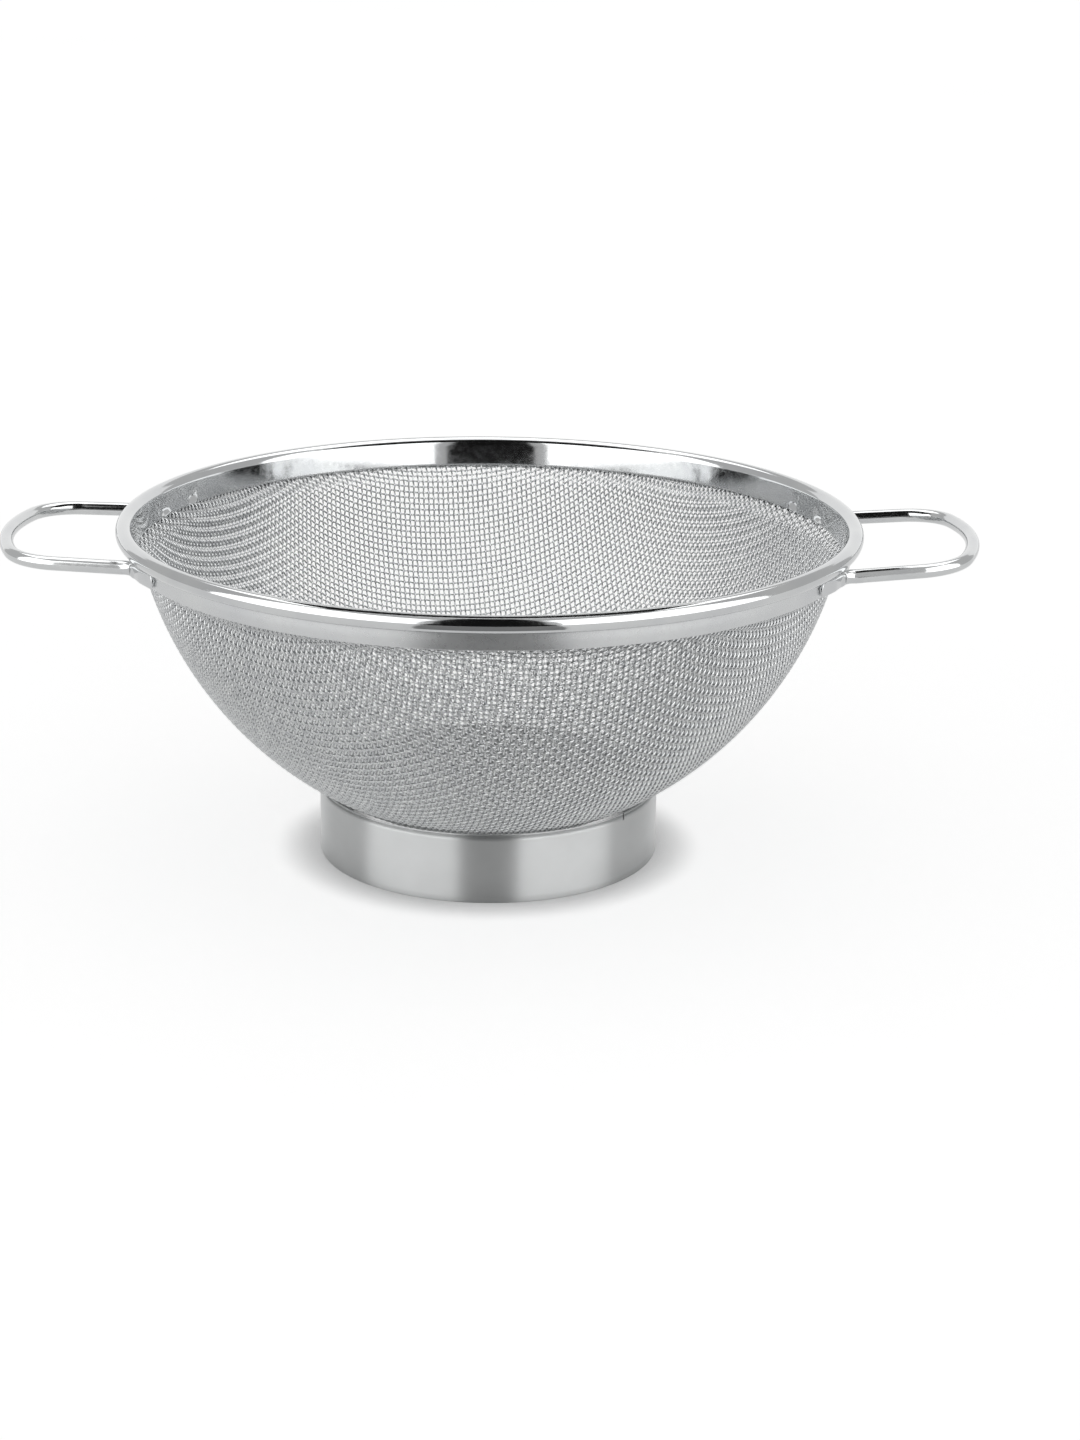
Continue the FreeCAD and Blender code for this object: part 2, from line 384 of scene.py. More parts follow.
def add_satin_flank(shader, extra_roughness):
    """Dull the rim's outer flank, which the polishing wheel does not reach under the bead."""
    _, height, radius = around_axis(shader)
    neck = BEAD_CENTRE_HEIGHT - BEAD_RADIUS
    behind = OUTER_FLANK_RADIUS - SHEET - SATIN_DEPTH
    below = shader.mapped(height, (neck + SATIN_FADE) * MM, (neck - SATIN_FADE) * MM)
    outside = shader.mapped(radius, behind * MM, (behind + SATIN_DEPTH_FADE) * MM)
    mask = shader.calculate("MULTIPLY", below, outside)
    gloss = shader.surface.inputs["Roughness"].links[0].from_socket
    shader.link(shader.calculate("MULTIPLY_ADD", mask, extra_roughness, gloss), "Roughness")


def rolled_steel(name, dark, light, rough_low, rough_high):
    """Sheet with fine rolling marks that run round the part."""
    shader = Shader(name)
    angle, height, radius = around_axis(shader)
    stretched = [shader.calculate("MULTIPLY", value, scale)
                 for value, scale in ((angle, 6.0), (height, 9000.0), (radius, 9000.0))]
    lines = shader.node("ShaderNodeCombineXYZ", dict(zip("XYZ", stretched))).outputs[0]
    marks = shader.noise(lines, scale=1.0, detail=5.0)
    clouds = shader.noise(shader.place(), scale=45.0)
    shader.link(shader.tones(clouds, dark, light), "Base Color")
    shader.link(shader.spread(marks, rough_low, rough_high), "Roughness")
    shader.surface.inputs["Metallic"].default_value = 1.0
    shader.surface.inputs["Anisotropic"].default_value = 1.0
    shader.surface.inputs["Anisotropic Rotation"].default_value = 0.25
    tangent = shader.node("ShaderNodeTangent", direction_type="RADIAL", axis="Z")
    shader.link(tangent.outputs[0], "Tangent")
    shader.bump(marks, strength=0.2, distance=0.00002)
    return shader


def drawn_wire_steel(name, dark, light, roughness):
    """Drawn wire: its brightness varies a little along each wire."""
    shader = Shader(name)
    grain = shader.noise(shader.place(), scale=420.0, detail=2.0)
    shader.link(shader.tones(grain, dark, light), "Base Color")
    shader.surface.inputs["Metallic"].default_value = 1.0
    shader.surface.inputs["Roughness"].default_value = roughness
    return shader


# ---- rim band ----

def rim_section():
    """Closed (radius, height) outline of the folded strip, and which points are the inner flank."""
    centre = (BEAD_CENTRE_RADIUS, BEAD_CENTRE_HEIGHT)
    face = OUTER_FLANK_RADIUS
    back = face - SHEET
    inner_reach = BEAD_RADIUS + NECK_ROUND
    neck_x = face + NECK_ROUND
    neck_drop = math.sqrt(inner_reach ** 2 - (BEAD_CENTRE_RADIUS - neck_x) ** 2)
    neck = (neck_x, BEAD_CENTRE_HEIGHT - neck_drop)
    neck_angle = math.degrees(math.atan2(-neck_drop, neck_x - BEAD_CENTRE_RADIUS))
    inner_flank_run = BEAD_CENTRE_RADIUS - BEAD_RADIUS - INNER_FLANK_RADIUS
    inner_flank_rise = BEAD_CENTRE_HEIGHT - INNER_FLANK_BOTTOM
    lean = math.degrees(math.atan2(inner_flank_run, inner_flank_rise))
    edge = FLANK_EDGE_ROUND
    inner_edge_centre = (INNER_FLANK_RADIUS + SHEET / 2, INNER_FLANK_BOTTOM + edge)
    outer_edge_centre = (face - SHEET / 2, OUTER_FLANK_BOTTOM + edge)
    groove_x = back - BEAD_CENTRE_RADIUS
    groove_top = (back, BEAD_CENTRE_HEIGHT - math.sqrt(CORE_RADIUS ** 2 - groove_x ** 2))
    groove_angle = math.degrees(math.acos(groove_x / CORE_RADIUS))
    runs = [
        np.linspace((face, OUTER_FLANK_BOTTOM + edge), (face, neck[1]), 13)[:-1],
        arc_points(neck, NECK_ROUND, 180, neck_angle + 180, 5)[:-1],
        arc_points(centre, BEAD_RADIUS, neck_angle, 180 - lean, 34)[:-1],
    ]
    flank_start = sum(len(run) for run in runs)
    flank_top = arc_points(centre, BEAD_RADIUS, 180 - lean, 180 - lean, 1)[0]
    flank_bottom = np.array([INNER_FLANK_RADIUS, INNER_FLANK_BOTTOM + edge])
    flank_back_bottom = flank_bottom + np.array([SHEET, 0])
    flank_back_top = arc_points(centre, CORE_RADIUS, 180 - lean, 180 - lean, 1)[0]
    runs += [
        np.linspace(flank_top, flank_bottom, 15)[:-1],
        inner_edge_centre + half_round(SHEET / 2, edge, 180, 360, 6)[:-1],
        np.linspace(flank_back_bottom, flank_back_top, 9)[:-1],
    ]
    flank_end = sum(len(run) for run in runs)
    runs += [
        arc_points(centre, CORE_RADIUS, 180 - lean, -groove_angle, 18)[:-1],
        np.linspace(groove_top, (back, OUTER_FLANK_BOTTOM + edge), 10)[:-1],
        outer_edge_centre + half_round(SHEET / 2, edge, 180, 360, 6)[:-1],
    ]
    return np.concatenate(runs), slice(flank_start, flank_end)


def weld_directions():
    """Angle round the rim of every spot weld: two for each of the four toes."""
    angles = []
    for heading in HANDLE_HEADINGS.values():
        for side in (-1, 1):
            angles += [heading + side * weld for weld in WELD_ANGLES]
    return np.array(angles)


def angle_between(angle, other):
    """Signed turn from one angle to another, between -180 and 180 degrees."""
    return (angle - other + math.pi) % (2 * math.pi) - math.pi


def rim_angles():
    """Angles round the rim, closer together at the spot welds."""
    angles = [0.0]
    welds = weld_directions()
    while angles[-1] < 2 * math.pi:
        gap = np.abs(angle_between(angles[-1], welds)).min()
        angles.append(angles[-1] + (DENT_STEP if gap < DENT_ZONE else RIM_STEP))
    return np.array(angles[:-1]) * 2 * math.pi / angles[-1]


def turn_in_outer_edge(section):
    """Bend the lower edge of the outer flank in towards the cloth."""
    outside = (section[:, 0] > OUTER_FLANK_RADIUS - SHEET - 0.01) & (section[:, 1] < OUTER_EDGE_BEND_TOP)
    down = (OUTER_EDGE_BEND_TOP - section[outside, 1]) / (OUTER_EDGE_BEND_TOP - OUTER_FLANK_BOTTOM)
    section[outside, 0] -= OUTER_EDGE_BEND * down ** 2


def dent_inner_flank(points, angles, flank):
    """Press the inner flank back against the cloth at each spot weld."""
    height = points[:, flank, 2]
    up = np.clip((height - INNER_FLANK_BOTTOM) / (DENT_TOP - INNER_FLANK_BOTTOM), 0, 1)
    upright = np.sin(up * math.pi) ** DENT_HEIGHT_POWER
    depth = np.zeros_like(height)
    for number, weld in enumerate(weld_directions()):
        half_length = DENT_HALF_LENGTHS[number % 2]
        across = angle_between(angles, weld) * INNER_FLANK_RADIUS
        lens = np.clip(1 - (across / half_length) ** 2, 0, 1) ** DENT_LENGTH_POWER
        depth = np.maximum(depth, WELD_DEPTH * lens[:, None] * upright)
    outward = np.stack([np.cos(angles), np.sin(angles)], -1)[:, None, :]
    points[:, flank, :2] += depth[:, :, None] * outward


def make_rim(material):
    """The rim band: one folded section turned round the axis, with the welds' dents."""
    section, flank = rim_section()
    turn_in_outer_edge(section)
    angles = rim_angles()
    points = turned(section, angles)
    dent_inner_flank(points, angles, flank)
    quads = tube_quads(len(angles), len(section), True)
    uv = strip_uv(len(angles), len(section), 4)
    add_piece("rim", points.reshape(-1, 3), quads, uv, material, "rim_band")


# ---- foot ring ----

def foot_section():
    """Closed outline of the foot's wall with its top edge curled outward."""
    inner = FOOT_RADIUS - FOOT_SHEET
    curl = (LIP_CENTRE_RADIUS, LIP_CENTRE_HEIGHT)
    hollow = LIP_RADIUS - FOOT_SHEET
    edge = FOOT_EDGE_ROUND
    edge_centre = (inner + FOOT_SHEET / 2, edge)
    runs = [
        np.linspace((inner, LIP_CENTRE_HEIGHT), (inner, edge), 12)[:-1],
        edge_centre + half_round(FOOT_SHEET / 2, edge, 180, 360, 7)[:-1],
        np.linspace((FOOT_RADIUS, edge), (FOOT_RADIUS, LIP_CENTRE_HEIGHT), 12)[:-1],
        arc_points(curl, hollow, 180, CURL_END_DEGREES, 12),
        arc_points(curl, LIP_RADIUS, CURL_END_DEGREES, 180, 26)[:-1],
    ]
    return np.concatenate(runs)


def make_foot(material):
    """The foot ring: a turned wall whose curl is cut through at the seam."""
    section = foot_section()
    half_gap = SEAM_GAP / 2 / LIP_CENTRE_RADIUS
    angles = SEAM_DIRECTION + np.linspace(half_gap, 2 * math.pi - half_gap, FOOT_STEPS)
    points = turned(section, angles)
    count = len(section)
    quads = tube_quads(len(angles), count, False)
    uv = strip_uv(len(angles) - 1, count, 4)
    last = (len(angles) - 1) * count
    in_wall = (section[:, 0] <= FOOT_RADIUS + 0.01) & (section[:, 1] < LIP_CENTRE_HEIGHT)
    wall = np.flatnonzero(in_wall)
    seam = np.stack([wall[:-1] + last, wall[1:] + last, wall[1:], wall[:-1]], -1)
    seam = seam[wall[1:] - wall[:-1] == 1]
    quads = np.concatenate([quads, seam])
    uv = np.concatenate([uv, np.zeros((len(seam), 4, 2))])
    add_piece("foot", points.reshape(-1, 3), quads, uv, material, "foot_ring")


# ---- handles ----

def beside_leg(offset, centre_x, radius):
    """Point at an offset outside the +Y leg, at a radius from a centre on the X axis."""
    ahead = np.array([math.cos(LEG_TAPER), -math.sin(LEG_TAPER)])
    aside = np.array([math.sin(LEG_TAPER), math.cos(LEG_TAPER)])
    across = np.array([OUTER_FLANK_RADIUS - centre_x, LEG_HALF_SPACING]) @ aside + offset
    return np.array([centre_x, 0]) + ahead * math.sqrt(radius ** 2 - across ** 2) + aside * across


def toe_bend_centre():
    """Centre of the bend between the +Y leg and its toe."""
    return beside_leg(TOE_BEND_RADIUS, 0.0, OUTER_FLANK_RADIUS + TOE_HALF_THICKNESS + TOE_BEND_RADIUS)


def leg_root():
    """Where the leg on the +Y side goes over into its toe's bend."""
    aside = np.array([math.sin(LEG_TAPER), math.cos(LEG_TAPER)])
    return toe_bend_centre() - aside * TOE_BEND_RADIUS


def handle_half_path():
    """Middle line of half a handle as (x, y), and how many of its points are the toe's."""
    toe_radius = OUTER_FLANK_RADIUS + TOE_HALF_THICKNESS
    bend_centre = toe_bend_centre()
    bend_degrees = math.degrees(math.atan2(bend_centre[1], bend_centre[0]))
    toe_end = bend_degrees + math.degrees(TOE_LENGTH / toe_radius) - TOE_SETBACK_DEGREES
    taper = math.degrees(LEG_TAPER)
    end_x = HANDLE_REACH - HANDLE_WIRE_RADIUS - HANDLE_END_RADIUS
    corner = beside_leg(-HANDLE_CORNER, end_x, HANDLE_END_RADIUS - HANDLE_CORNER)
    join = math.degrees(math.atan2(corner[1], corner[0] - end_x))
    corner_run = arc_points(corner, HANDLE_CORNER, join, 90 - taper, 26)
    runs = [
        arc_points((end_x, 0), HANDLE_END_RADIUS, 0, join, 20)[:-1],
        corner_run[:-1],
        np.linspace(corner_run[-1], leg_root(), 22)[:-1],
        arc_points(bend_centre, TOE_BEND_RADIUS, 270 - taper, 180 + bend_degrees, 12)[:-1],
        arc_points((0, 0), toe_radius, bend_degrees, toe_end, 36),
    ]
    return np.concatenate(runs), len(runs[-1])


def half_handle():
    """Middle line of half a handle, with its half sizes out and up and its squareness."""
    half, toe_count = handle_half_path()
    steps = np.linalg.norm(np.diff(half, axis=0), axis=1)
    length = np.concatenate([[0], np.cumsum(steps)])
    past = length - length[-toe_count]
    to_end = length[-1] - length
    flat = smooth_step((past + FLATTENING_LEAD) / FLATTENING_LENGTH)
    end_gap = np.clip(to_end / TOE_HALF_WIDTH, 0, 1)
    end_round = np.sqrt(np.clip(1 - (1 - end_gap) ** 2, 0, 1))
    end_round[-1] = TOE_TIP_WIDTH_SHARE
    toe_half_out = np.interp(to_end, [0, TOE_TIP_LENGTH], [TOE_TIP_HALF_THICKNESS, TOE_HALF_THICKNESS])
    half_out = HANDLE_WIRE_RADIUS + (toe_half_out - HANDLE_WIRE_RADIUS) * flat
    half_up = (HANDLE_WIRE_RADIUS + (TOE_HALF_WIDTH - HANDLE_WIRE_RADIUS) * flat) * end_round
    power = ROUND_POWER + (TOE_POWER - ROUND_POWER) * flat
    toe = slice(-toe_count, None)
    on_flank = np.linalg.norm(half[toe], axis=1)
    half[toe] *= ((on_flank + half_out[toe] - TOE_HALF_THICKNESS) / on_flank)[:, None]
    return half, half_out, half_up, power


def make_handle(name, material):
    """A handle: two mirrored halves in one wire, tilted up and turned to its heading."""
    half, *half_values = half_handle()
    path = np.concatenate([half[:0:-1] * [1, -1], half])
    values = [np.concatenate([value[:0:-1], value]) for value in half_values]
    rings = handle_rings(path, *values)
    points = tilt(rings, leg_root()[0], HANDLE_RISES[name])
    cos, sin = math.cos(HANDLE_HEADINGS[name]), math.sin(HANDLE_HEADINGS[name])
    points = points @ np.array([[cos, sin, 0], [-sin, cos, 0], [0, 0, 1]])
    ring_count, side_count = rings.shape[:2]
    quads = tube_quads(ring_count, side_count, False)
    uv = strip_uv(ring_count - 1, side_count, 3)
    caps = end_caps(0, ring_count, side_count)
    add_piece(name + "_wire", points.reshape(-1, 3), quads, uv, material, name, caps)


def smooth_step(value):
    """0 below 0, 1 above 1, with a smooth rise between."""
    value = np.clip(value, 0, 1)
    return value * value * (3 - 2 * value)


def handle_rings(path, half_out, half_up, power):
    """Cross-sections along the handle: round wire that flattens into the toes."""
    ahead = np.gradient(path, axis=0)
    ahead /= np.linalg.norm(ahead, axis=1)[:, None]
    aside = np.stack([ahead[:, 1], -ahead[:, 0]], -1)
    turn = np.arange(HANDLE_SIDES) * 2 * math.pi / HANDLE_SIDES
    exponent = 2 / power[:, None]
    across = np.sign(np.cos(turn)) * np.abs(np.cos(turn)) ** exponent * half_out[:, None]
    up = np.sign(np.sin(turn)) * np.abs(np.sin(turn)) ** exponent * half_up[:, None]
    flat_points = path[:, None, :] + across[:, :, None] * aside[:, None, :]
    radius = np.linalg.norm(flat_points, axis=2, keepdims=True)
    flat_points *= np.maximum(radius, OUTER_FLANK_RADIUS + 0.01) / radius
    return np.concatenate([flat_points, HANDLE_HEIGHT + up[:, :, None]], 2)


def tilt(points, hinge_x, rise):
    """Raise the loop outside the rim, turning it up about its two legs' roots."""
    run = points[..., 0] - hinge_x
    lift = points[..., 2] - HANDLE_HEIGHT
    turn = rise * smooth_step(run / TILT_RUN)
    x = hinge_x + run * np.cos(turn) - lift * np.sin(turn)
    z = HANDLE_HEIGHT + run * np.sin(turn) + lift * np.cos(turn)
    return np.stack([x, points[..., 1], z], -1)


# ---- woven bowl ----

ARC_JOINT = BOTTOM_ARC_RADIUS * BOTTOM_ARC_ANGLE
ARC_END = ARC_JOINT + WALL_ARC_RADIUS * (WALL_TOP_ANGLE - BOTTOM_ARC_ANGLE)


def dish(distance):
    """Radius, height and slope of the bowl at a distance from its pole along the wall."""
    low_slope = distance / BOTTOM_ARC_RADIUS
    high_slope = BOTTOM_ARC_ANGLE + (distance - ARC_JOINT) / WALL_ARC_RADIUS
    low = distance <= ARC_JOINT
    slope = np.where(low, low_slope, np.minimum(high_slope, WALL_TOP_ANGLE))
    joint_radius = BOTTOM_ARC_RADIUS * math.sin(BOTTOM_ARC_ANGLE)
    joint_height = BOTTOM_HEIGHT + BOTTOM_ARC_RADIUS * (1 - math.cos(BOTTOM_ARC_ANGLE))
    wall_radius = joint_radius + WALL_ARC_RADIUS * (np.sin(slope) - math.sin(BOTTOM_ARC_ANGLE))
    wall_height = joint_height + WALL_ARC_RADIUS * (math.cos(BOTTOM_ARC_ANGLE) - np.cos(slope))
    radius = np.where(low, BOTTOM_ARC_RADIUS * np.sin(low_slope), wall_radius)
    height = np.where(low, BOTTOM_HEIGHT + BOTTOM_ARC_RADIUS * (1 - np.cos(low_slope)), wall_height)
    past = np.maximum(distance - ARC_END, 0)
    return radius + past * math.cos(WALL_TOP_ANGLE), height + past * math.sin(WALL_TOP_ANGLE), slope


def flare_table():
    """Rounded section past the wall arc, where the cloth flares out between the flanks."""
    radius, height, _ = dish(np.array([ARC_END]))
    wall_top = (radius[0], height[0])
    strip_foot = (EDGE_RADIUS, EDGE_STRIP_BOTTOM)
    past_strip_top = (EDGE_RADIUS, EDGE_STRIP_TOP + FLARE_OVERRUN)
    start = ARC_END - FLARE_LEAD
    below = np.stack(dish(np.linspace(start, ARC_END, 120, endpoint=False))[:2], -1)
    corners = np.concatenate([below, np.linspace(wall_top, strip_foot, 59)[:-1],
                              np.linspace(strip_foot, past_strip_top, 36)])
    rounded = corners.copy()
    window = np.ones(FLARE_SMOOTHING) / FLARE_SMOOTHING
    margin = FLARE_SMOOTHING // 2
    for column in (0, 1):
        rounded[margin:-margin, column] = np.convolve(corners[:, column], window, "valid")
    steps = np.linalg.norm(np.diff(rounded, axis=0), axis=1)
    distance = start + np.concatenate([[0], np.cumsum(steps)])
    slope = np.arctan2(np.gradient(rounded[:, 1]), np.gradient(rounded[:, 0]))
    keep = rounded[:, 1] <= EDGE_STRIP_TOP
    return distance[keep], rounded[keep, 0], rounded[keep, 1], slope[keep]


FLARE_DISTANCE, FLARE_RADIUS, FLARE_HEIGHT, FLARE_SLOPE = flare_table()
CLOTH_END = FLARE_DISTANCE[-1]


def bowl_point(distance, angle):
    """Point and outward normal of the cloth's middle surface."""
    radius, height, slope = dish(distance)
    flared = distance > FLARE_DISTANCE[0]
    radius = np.where(flared, np.interp(distance, FLARE_DISTANCE, FLARE_RADIUS), radius)
    height = np.where(flared, np.interp(distance, FLARE_DISTANCE, FLARE_HEIGHT), height)
    slope = np.where(flared, np.interp(distance, FLARE_DISTANCE, FLARE_SLOPE), slope)
    cos, sin = np.cos(angle), np.sin(angle)
    point = np.stack([radius * cos, radius * sin, height], -1)
    normal = np.stack([np.sin(slope) * cos, np.sin(slope) * sin, -np.cos(slope)], -1)
    return point, normal


def unflared_point(distance, angle):
    """Point, radius and slope on the bowl with its wall carried straight on past the top."""
    radius, height, slope = dish(distance)
    point = np.stack([radius * np.cos(angle), radius * np.sin(angle), height], -1)
    return point, radius, slope


def stretch(distance):
    """How much the drawing of the bowl has stretched the cloth along the wall."""
    return np.interp(distance, STRETCH_DISTANCES, STRETCH_SHARES)


def net_quadrant():
    """Crossings of the two wire families over a quarter of the bowl.

    Square cloth can only shear, so each crossing lies one pitch from its two
    neighbours nearer the middle. Solved outward, one diagonal row at a time.
    """
    axis = [0.0]
    while axis[-1] < CLOTH_END + NET_OVERRUN:
        axis.append(axis[-1] + WIRE_PITCH * (1 + stretch(axis[-1] + WIRE_PITCH / 2)))
    count = len(axis)
    distance = np.full((count, count), np.nan)
    angle = np.full((count, count), np.nan)
    point = np.full((count, count, 3), np.nan)
    distance[:, 0] = distance[0, :] = axis
    angle[:, 0] = 0.0
    angle[0, 1:] = math.pi / 2
    point[:, 0] = unflared_point(distance[:, 0], 0.0)[0]
    point[0, :] = unflared_point(distance[0, :], math.pi / 2)[0]
    for row in range(2, 2 * count - 1):
        i = np.arange(max(1, row - count + 1), min(count - 1, row - 1) + 1)
        j = row - i
        known = np.isfinite(point[i - 1, j, 0]) & np.isfinite(point[i, j - 1, 0])
        i, j = i[known], j[known]
        if len(i) == 0:
            continue
        solved_distance, solved_angle = solve_crossings(point, distance, i, j)
        on_bowl = solved_distance < axis[-1] + REACH_SLACK
        in_quarter = np.abs(solved_angle - math.pi / 4) < math.pi / 4 + ANGLE_SLACK
        good = on_bowl & in_quarter
        i, j = i[good], j[good]
        distance[i, j], angle[i, j] = solved_distance[good], solved_angle[good]
        point[i, j] = unflared_point(distance[i, j], angle[i, j])[0]
    return distance, angle


def solve_crossings(point, distance, i, j):
    """Distance and angle of the crossings one pitch from two known neighbours each.

    Newton's method: each step solves two linear equations for the next guess.
    """
    first, second = point[i - 1, j], point[i, j - 1]
    guess = first + second - point[i - 1, j - 1]
    reach = (distance[i - 1, j] + distance[i, j - 1]) / 2 + SOLVER_FIRST_REACH * WIRE_PITCH
    angle = np.arctan2(guess[:, 1], guess[:, 0])
    for _ in range(SOLVER_STEPS):
        place, radius, slope = unflared_point(reach, angle)
        cos, sin = np.cos(angle), np.sin(angle)
        along = np.stack([np.cos(slope) * cos, np.cos(slope) * sin, np.sin(slope)], -1)
        around = np.stack([-sin, cos, np.zeros_like(angle)], -1)
        rows = []
        for neighbour in (first, second):
            offset = place - neighbour
            length = np.linalg.norm(offset, axis=1)
            by_reach = (offset * along).sum(1) / length
            by_angle = (offset * around).sum(1) / length * radius
            target = WIRE_PITCH * (1 + stretch(reach) * by_reach ** 2)
            rows.append((length - target, by_reach, by_angle))
        (error_1, reach_1, angle_1), (error_2, reach_2, angle_2) = rows
        determinant = reach_1 * angle_2 - angle_1 * reach_2
        least = np.copysign(SOLVER_LEAST_DETERMINANT, determinant)
        determinant = np.where(np.abs(determinant) < SOLVER_LEAST_DETERMINANT, least, determinant)
        reach_step = (error_1 * angle_2 - error_2 * angle_1) / determinant
        angle_step = (reach_1 * error_2 - reach_2 * error_1) / determinant
        reach = reach - np.clip(reach_step, -SOLVER_REACH_LIMIT, SOLVER_REACH_LIMIT)
        angle = angle - np.clip(angle_step, -SOLVER_ANGLE_LIMIT, SOLVER_ANGLE_LIMIT)
    return reach, angle


def full_net():
    """Distance, angle and parity of the crossings over the whole bowl, mirrored from a quarter."""
    distance, angle = net_quadrant()
    count = len(distance)
    index = np.arange(-(count - 1), count)
    i, j = np.meshgrid(index, index, indexing="ij")
    quarter_angle = angle[np.abs(i), np.abs(j)]
    x = np.copysign(1, i + 0.5) * np.cos(quarter_angle)
    y = np.copysign(1, j + 0.5) * np.sin(quarter_angle)
    x = np.where(i == 0, 0, x)
    y = np.where(j == 0, 0, y)
    return distance[np.abs(i), np.abs(j)], np.arctan2(y, x) + CLOTH_TURN, (i + j) % 2


def wire_path(distance, angle, parity, side):
    """Points and normals along one wire, weaving over and under at each crossing."""
    inside = np.flatnonzero(distance < CLOTH_END + WIRE_OVERRUN)
    if len(inside) < 3:
        return None
    run = slice(inside[0], inside[-1] + 1)
    point, normal = bowl_point(np.minimum(distance[run], CLOTH_END + SURFACE_OVERRUN), angle[run])
    knots = np.arange(len(point))
    fine = np.arange(0, (len(point) - 1) * STEPS_PER_PITCH + 1) / STEPS_PER_PITCH
    base = np.stack([np.interp(fine, knots, point[:, axis]) for axis in range(3)], -1)
    facing = np.stack([np.interp(fine, knots, normal[:, axis]) for axis in range(3)], -1)
    facing /= np.linalg.norm(facing, axis=1)[:, None]
    reach = np.interp(fine, knots, distance[run])
    first = 1 if parity[run][0] == 0 else -1
    wave = side * first * WIRE_RADIUS * np.cos(fine * math.pi)
    kept = np.flatnonzero(reach <= CLOTH_END)
    if len(kept) < 2 * STEPS_PER_PITCH:
        return None
    kept = slice(kept[0], kept[-1] + 1)
    return base[kept] + wave[kept, None] * facing[kept], facing[kept]


def wire_tube(path, facing):
    """Rings of a round wire along its path."""
    ahead = np.gradient(path, axis=0)
    ahead /= np.linalg.norm(ahead, axis=1)[:, None]
    aside = np.cross(ahead, facing)
    aside /= np.linalg.norm(aside, axis=1)[:, None]
    above = np.cross(aside, ahead)
    turn = (np.arange(WIRE_SIDES) + 0.5) * 2 * math.pi / WIRE_SIDES
    ring = np.cos(turn)[:, None] * above[:, None, :] + np.sin(turn)[:, None] * aside[:, None, :]
    return path[:, None, :] + WIRE_RADIUS * ring


def add_wires(name, paths, material):
    """One piece that holds a group of wires."""
    points, quads, uvs, caps = [], [], [], []
    offset = 0
    for number, (path, facing) in enumerate(paths):
        rings = wire_tube(path, facing)
        ring_count = len(rings)
        points.append(rings.reshape(-1, 3))
        quads.append(tube_quads(ring_count, WIRE_SIDES, False) + offset)
        uv = strip_uv(ring_count - 1, WIRE_SIDES, 1)
        uv[..., 1] = (number + uv[..., 1]) / len(paths)
        uvs.append(uv)
        caps += end_caps(offset, ring_count, WIRE_SIDES)
        offset += ring_count * WIRE_SIDES
    add_piece(name, np.concatenate(points), np.concatenate(quads), np.concatenate(uvs), material,
              "mesh_bowl", caps)


def make_cloth(material):
    """Both wire families of the bowl, each split into groups of neighbouring wires."""
    distance, angle, parity = full_net()
    for family, side in (("warp", 1), ("weft", -1)):
        paths = []
        for row in range(len(distance)):
            line = (row, slice(None)) if family == "warp" else (slice(None), row)
            made = wire_path(distance[line], angle[line], parity[line], side)
            if made is not None:
                paths.append(made)
        total = sum(len(path) for path, _ in paths)
        group, filled, number = [], 0, 1
        for path in paths:
            group.append(path)
            filled += len(path[0])
            if filled >= total * number / CLOTH_PIECES:
                add_wires("%s_wires_%d" % (family, number), group, material)
                group = []
                number += 1


# ---- studio ----

def make_camera():
    """Camera a little above the rim, looking along +Y."""
    data = bpy.data.cameras.new("camera")
    data.lens = CAMERA_LENS
    data.sensor_width = CAMERA_SENSOR
    data.clip_start = 0.01
    camera = bpy.data.objects.new("camera", data)
    ahead = Vector((math.sin(CAMERA_YAW) * math.cos(CAMERA_PITCH),
                    math.cos(CAMERA_YAW) * math.cos(CAMERA_PITCH), -math.sin(CAMERA_PITCH)))
    right = Vector((math.cos(CAMERA_YAW), -math.sin(CAMERA_YAW), 0))
    up = right.cross(ahead)
    rolled_right = right * math.cos(CAMERA_ROLL) + up * math.sin(CAMERA_ROLL)
    rolled_up = up * math.cos(CAMERA_ROLL) - right * math.sin(CAMERA_ROLL)
    place = Vector((0, -CAMERA_DISTANCE * math.cos(CAMERA_ELEVATION),
                    CAMERA_TARGET_HEIGHT + CAMERA_DISTANCE * math.sin(CAMERA_ELEVATION)))
    turn = Matrix((rolled_right, rolled_up, -ahead)).transposed().to_4x4()
    camera.matrix_world = Matrix.Translation(place) @ turn
    bpy.context.scene.collection.objects.link(camera)
    bpy.context.scene.camera = camera


def add_softbox(name, place, target, width, height, power):
    """A flat rectangular light that faces the target and shows only in reflections."""
    data = bpy.data.lights.new(name, "AREA")
    data.shape = "RECTANGLE"
    data.size = width
    data.size_y = height
    data.energy = power
    light = bpy.data.objects.new(name, data)
    aim = Vector(target) - Vector(place)
    light.matrix_world = Matrix.Translation(place) @ aim.to_track_quat("-Z", "Y").to_matrix().to_4x4()
    light.visible_camera = False
    light.visible_diffuse = False
    bpy.context.scene.collection.objects.link(light)


def stage_object(name, corners, material):
    """A one-faced stage piece made from its corner points."""
    mesh = bpy.data.meshes.new(name)
    mesh.from_pydata(corners, [], [tuple(range(len(corners)))])
    mesh.materials.append(material)
    stage_piece = bpy.data.objects.new(name, mesh)
    bpy.context.scene.collection.objects.link(stage_piece)
    return stage_piece


